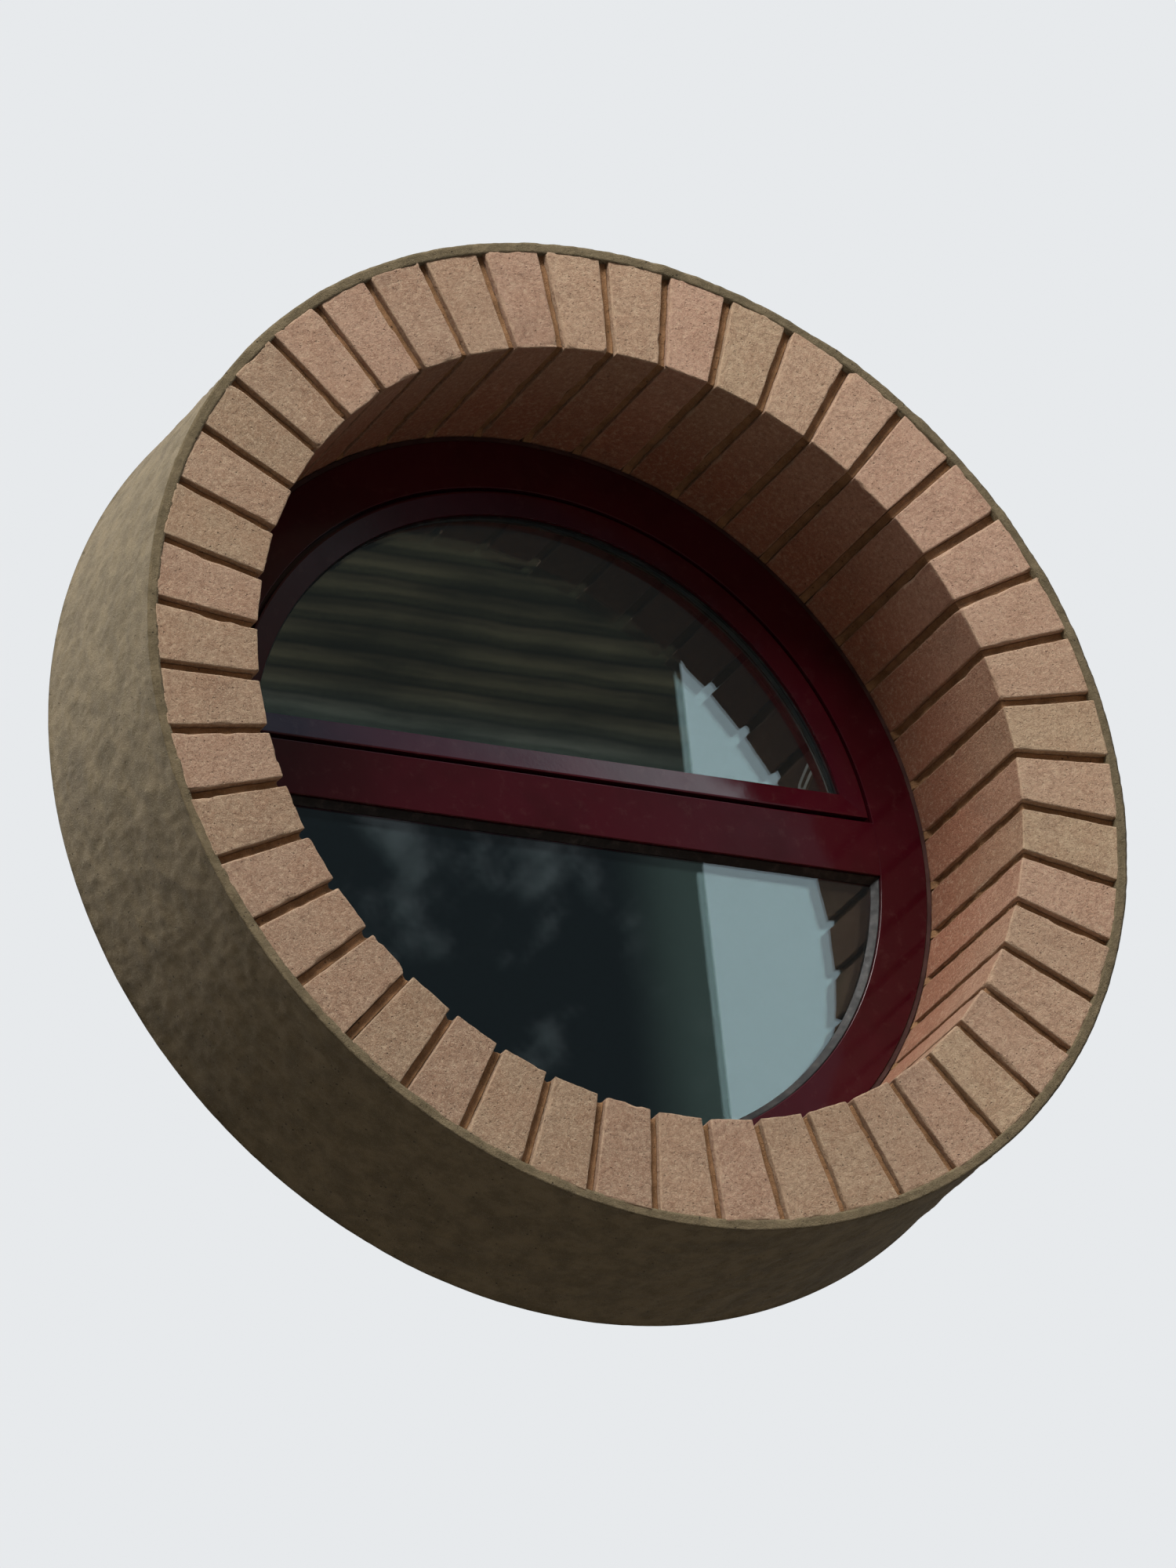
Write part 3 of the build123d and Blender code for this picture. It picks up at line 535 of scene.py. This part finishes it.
def make_joints():
    """The mortar of each joint: rough, and hollowed where it was tooled back."""
    low = OPENING_RADIUS + SOFFIT_RAKE
    size = (JOINT_WIDTH, RING_DEPTH - FRONT_RAKE, RING_RADIUS - low)
    points, quads = lattice([steps(length, JOINT_EDGE_STEPS, zone, step)
                             for length, zone, step in zip(size, JOINT_EDGE_ZONES, JOINT_STEPS)])
    for number in range(BRICK_COUNT):
        offset = drawn_place(random.Random(JOINT_SEED + number))
        angle = FIRST_BRICK + PITCH * (number + 0.5)
        vertices = []
        for point in points:
            x, y, z = point[0] - size[0] / 2, point[1], point[2]
            q = Vector((x, y, z)) + offset
            rough = waves(q, *JOINT_SAND_WAVES) + waves(q, *JOINT_GRAIN_WAVES)
            hollow = JOINT_HOLLOW * (1 - (2 * x / size[0]) ** 2)
            if y == 0:
                y += max(-JOINT_MOST_PROUD, hollow + JOINT_FRONT_SHARE * rough)
            if z == 0:
                behind = ramp(y + FRONT_RAKE, FRAME_FRONT - FLUSH_RUN, FRAME_FRONT)
                z += (hollow + JOINT_SOFFIT_SHARE * rough) * (1 - behind)
                z -= (SOFFIT_RAKE - FLUSH_RAKE) * behind
            place = (x, min(RING_DEPTH, y + FRONT_RAKE), min(RING_RADIUS, z + low))
            vertices.append(turned(place, angle))
        make_piece(f"joint_{number + 1:02d}", vertices, quads, materials["mortar"], "joint_mortar")


def rim_outline():
    """Radius and depth of the points round the section of the rim, starting at its inner front corner."""
    inner = RING_RADIUS - RIM_LAP
    width = RIM_RADIUS - inner
    front = [(inner + width * k / RIM_STEPS_WIDE, 0.0) for k in range(RIM_STEPS_WIDE)]
    outside = [(RIM_RADIUS, RING_DEPTH * k / RIM_STEPS_DEEP) for k in range(RIM_STEPS_DEEP)]
    back = [(RIM_RADIUS - width * k / RIM_STEPS_WIDE, RING_DEPTH) for k in range(RIM_STEPS_WIDE)]
    return front + outside + back + [(inner, RING_DEPTH)]


def make_rim():
    """The mortar round the ring: rough outside, tooled in front."""
    outline = rim_outline()
    vertices, faces = [], []
    for step in range(RIM_STEPS_AROUND):
        a = 2 * math.pi * step / RIM_STEPS_AROUND
        for radius, y in outline:
            p = Vector((radius * math.sin(a), y, radius * math.cos(a)))
            rough = RIM_MEAN + waves(p, *RIM_SWELL_WAVES) + waves(p, *RIM_LUMP_WAVES)
            rough = max(0.0, rough + waves(p, *RIM_GRAIN_WAVES))
            if y == 0:
                y = RIM_FRONT_RELIEF * rough
                if radius > RIM_RADIUS - RIM_ARRIS_ZONE:
                    radius -= RIM_ARRIS_RELIEF * rough
            elif y == RING_DEPTH:
                y -= RIM_BACK_RELIEF * rough
            elif radius == RIM_RADIUS:
                radius -= RIM_OUTER_RELIEF * rough
            vertices.append((radius * math.sin(a), y, radius * math.cos(a)))
    size = len(outline)
    for step in range(RIM_STEPS_AROUND):
        here, there = step * size, (step + 1) % RIM_STEPS_AROUND * size
        for k in range(size):
            following = (k + 1) % size
            faces.append((here + k, there + k, there + following, here + following))
    make_piece("rim", vertices, faces, materials["rim_mortar"], "rim_mortar")


# Stage
def card(name, centre, width, height, material, facing, seen_by=None):
    """A flat stage card that faces a point. seen_by names the only kinds of ray that meet it."""
    mesh = bpy.data.meshes.new(name)
    w, h = width / 2, height / 2
    mesh.from_pydata([(-w, -h, 0), (w, -h, 0), (w, h, 0), (-w, h, 0)], [], [(0, 1, 2, 3)])
    mesh.materials.append(material)
    piece = bpy.data.objects.new(name, mesh)
    piece.location = centre
    piece.rotation_euler = (Vector(facing) - Vector(centre)).to_track_quat("Z", "Y").to_euler()
    scene.collection.objects.link(piece)
    for kind in ("camera", "diffuse", "glossy", "transmission", "volume_scatter", "shadow"):
        setattr(piece, "visible_" + kind, seen_by is None or kind in seen_by)


def mirrored_by_pane(x, z, y):
    """Where, at depth y, the camera sees a point of the outer panes mirror its surroundings."""
    behind = Vector((CAMERA_PLACE.x, 2 * PANE_FRONT - CAMERA_PLACE.y, CAMERA_PLACE.z))
    point = Vector((x, PANE_FRONT, z))
    return behind + (point - behind) * ((y - behind.y) / (PANE_FRONT - behind.y))


def floor_material():
    """Pale to look at, but it sends up little light, as dark paving would."""
    t = Tree("floor")
    path = t.add("LightPath").outputs
    base = t.mix(path["Is Diffuse Ray"], rgb(216, 214, 210), (0.185, 0.165, 0.145, 1))
    base = t.mix(path["Is Glossy Ray"], base, (0.16, 0.155, 0.15, 1))
    seen = t.math("MAXIMUM", path["Is Camera Ray"], path["Is Transmission Ray"])
    return t.surface(Base_Color=base, Roughness=0.9, Emission_Color=(0.96, 0.98, 1.0, 1),
                     Emission_Strength=t.math("MULTIPLY", seen, 0.16))


def room_material():
    """Dark to rays that came through the panes, and clear to all others."""
    t = Tree("room")
    dark = t.add("Emission", Color=(0.008, 0.009, 0.010, 1))
    clear = t.add("BsdfTransparent")
    through = t.math("GREATER_THAN", t.add("LightPath").outputs["Transmission Depth"], 0.5)
    return t.output(t.add("MixShader", i0=through, i1=clear.outputs[0], i2=dark.outputs[0]))


def house_material():
    """What the panes mirror: dark level bands, grey just over the transom, and dim patches below it."""
    t = Tree("house")
    place = t.place()
    axes = t.add("SeparateXYZ", Vector=place).outputs
    level = t.add("Mapping", Vector=place, Scale=(0.45, 2.6, 1.0)).outputs["Vector"]
    height = t.math("ADD", axes["Y"], t.math("MULTIPLY", t.noise(5, 2, 0.5, place), 0.02))
    band_height = 0.042
    band = t.math("SINE", t.math("MULTIPLY", height, 2 * math.pi / band_height), 0.0)
    bands = t.range(band, -0.7, 0.1, smooth=True)
    lit = t.math("MULTIPLY", bands, t.range(t.noise(6, 4, 0.6, level), 0.34, 0.62))
    brown = t.mix(lit, (0.030, 0.029, 0.021, 1), (0.21, 0.18, 0.110, 1))
    grey = t.mix(lit, (0.10, 0.125, 0.115, 1), (0.44, 0.50, 0.46, 1))
    upper = t.mix(t.range(height, 0.20, 0.06, smooth=True), brown, grey)
    patches = t.range(t.noise(5.5, 4, 0.6, place), 0.50, 0.72, smooth=True)
    lower = t.mix(patches, (0.022, 0.032, 0.042, 1), (0.24, 0.28, 0.31, 1))
    lower = t.mix(t.range(axes["X"], -0.08, -0.22, 0.0, 0.75, smooth=True), lower, (0.20, 0.29, 0.27, 1))
    return t.glow(t.mix(t.range(axes["Y"], 0.0, 0.02), lower, upper))


def sky_material():
    """A strip of sky, sharp in the panes and faint in the lacquer."""
    t = Tree("sky")
    sharp = t.add("LightPath").outputs["Is Singular Ray"]
    return t.glow((0.80, 1.0, 1.1, 1), t.range(sharp, 0.0, 1.0, 0.4, 1.9))


def high_sky_material():
    """Sky high in front, which the sash's sloping faces mirror, brighter to the right."""
    t = Tree("high_sky")
    across = t.add("SeparateXYZ", Vector=t.place()).outputs["X"]
    blue, bright = (0.25, 0.45, 0.62, 1), (2.5, 2.9, 3.1, 1)
    return t.glow(t.mix(t.range(across, 1.22, 0.92, smooth=True), blue, bright))


def make_stage():
    """The floor, the dark room behind the panes, and in front what the panes and the lacquer mirror."""
    centre, ahead = Vector((0, 0, 0)), Vector((0, 1, 0))
    in_panes, in_gloss = ("glossy", "transmission"), ("glossy",)
    card("floor", (0, 0, FLOOR_LEVEL), FLOOR_SIZE, FLOOR_SIZE, floor_material(), centre)
    card("room", (0, ROOM_DEPTH, 0), ROOM_SIZE, ROOM_SIZE, room_material(), centre, in_panes)

    house = mirrored_by_pane(0.0, 0.0, MIRRORED_DEPTH)
    card("house", house, HOUSE_SIZE, HOUSE_SIZE, house_material(), house + ahead, in_panes)
    street = Vector((STREET_ACROSS, MIRRORED_DEPTH - STREET_BEHIND, 0.0))
    shade = Tree("street").glow((0.035, 0.033, 0.03, 1))
    card("street", street, *STREET_SIZE, shade, street + ahead, in_gloss)

    foot = mirrored_by_pane(*SKY_FOOT_IN_PANES, MIRRORED_DEPTH + SKY_BEFORE)
    top = mirrored_by_pane(*SKY_TOP_IN_PANES, MIRRORED_DEPTH + SKY_BEFORE)
    sky = (foot + top) / 2
    card("sky", sky, top.x - foot.x, top.z - foot.z, sky_material(), sky + ahead, in_panes)
    card("high_sky", HIGH_SKY_PLACE, *HIGH_SKY_SIZE, high_sky_material(), HIGH_SKY_PLACE + ahead, in_gloss)


def make_world():
    """Soft light, stronger from above. What is seen or mirrored of it is an even pale grey."""
    t = Tree("studio", "worlds")
    height = t.add("SeparateXYZ", Vector=t.add("TexCoord").outputs["Generated"]).outputs["Z"]
    below, above = (0.13, 0.113, 0.094, 1), (0.74, 0.76, 0.79, 1)
    light = t.mix(t.range(height, -0.05, 0.85, smooth=True), below, above)
    path = t.add("LightPath").outputs
    bounced = t.math("MAXIMUM", path["Is Glossy Ray"], path["Is Transmission Ray"])
    seen = t.math("MAXIMUM", path["Is Camera Ray"], bounced)
    colour = t.mix(seen, light, (0.80, 0.82, 0.84, 1))
    scene.world = t.output(t.add("Background", Color=colour, Strength=1.0), "OutputWorld")


def area_light(name, place, aim, size, watts, colour=(1, 1, 1)):
    data = bpy.data.lights.new(name, "AREA")
    data.shape = "SQUARE"
    data.size, data.energy, data.color = size, watts, colour
    lamp = bpy.data.objects.new(name, data)
    lamp.location = place
    lamp.rotation_euler = (Vector(aim) - Vector(place)).to_track_quat("-Z", "Y").to_euler()
    lamp.visible_camera = lamp.visible_transmission = False
    scene.collection.objects.link(lamp)


def make_camera():
    data = bpy.data.cameras.new("camera")
    data.lens, data.sensor_width = CAMERA_LENS_MM, CAMERA_SENSOR_MM
    data.clip_start, data.clip_end = 0.1, 200.0
    camera = bpy.data.objects.new("camera", data)
    camera.location = CAMERA_PLACE
    look = (CAMERA_AIM - CAMERA_PLACE).to_track_quat("-Z", "Y").to_matrix().to_4x4()
    camera.rotation_euler = (look @ Matrix.Rotation(math.radians(CAMERA_ROLL_DEGREES), 4, "Z")).to_euler()
    scene.collection.objects.link(camera)
    scene.camera = camera


make_bricks()
make_joints()
make_rim()
make_stage()
make_world()
area_light("key", (-6.2, -8.0, 11.2), aim=(0, 0, 0), size=7.2, watts=2760, colour=(1.0, 0.99, 0.96))
area_light("rear", (-2.6, 4.2, 3.2), aim=(0, 0.2, 0), size=3.0, watts=240)
make_camera()
scene.view_settings.view_transform = "Standard"
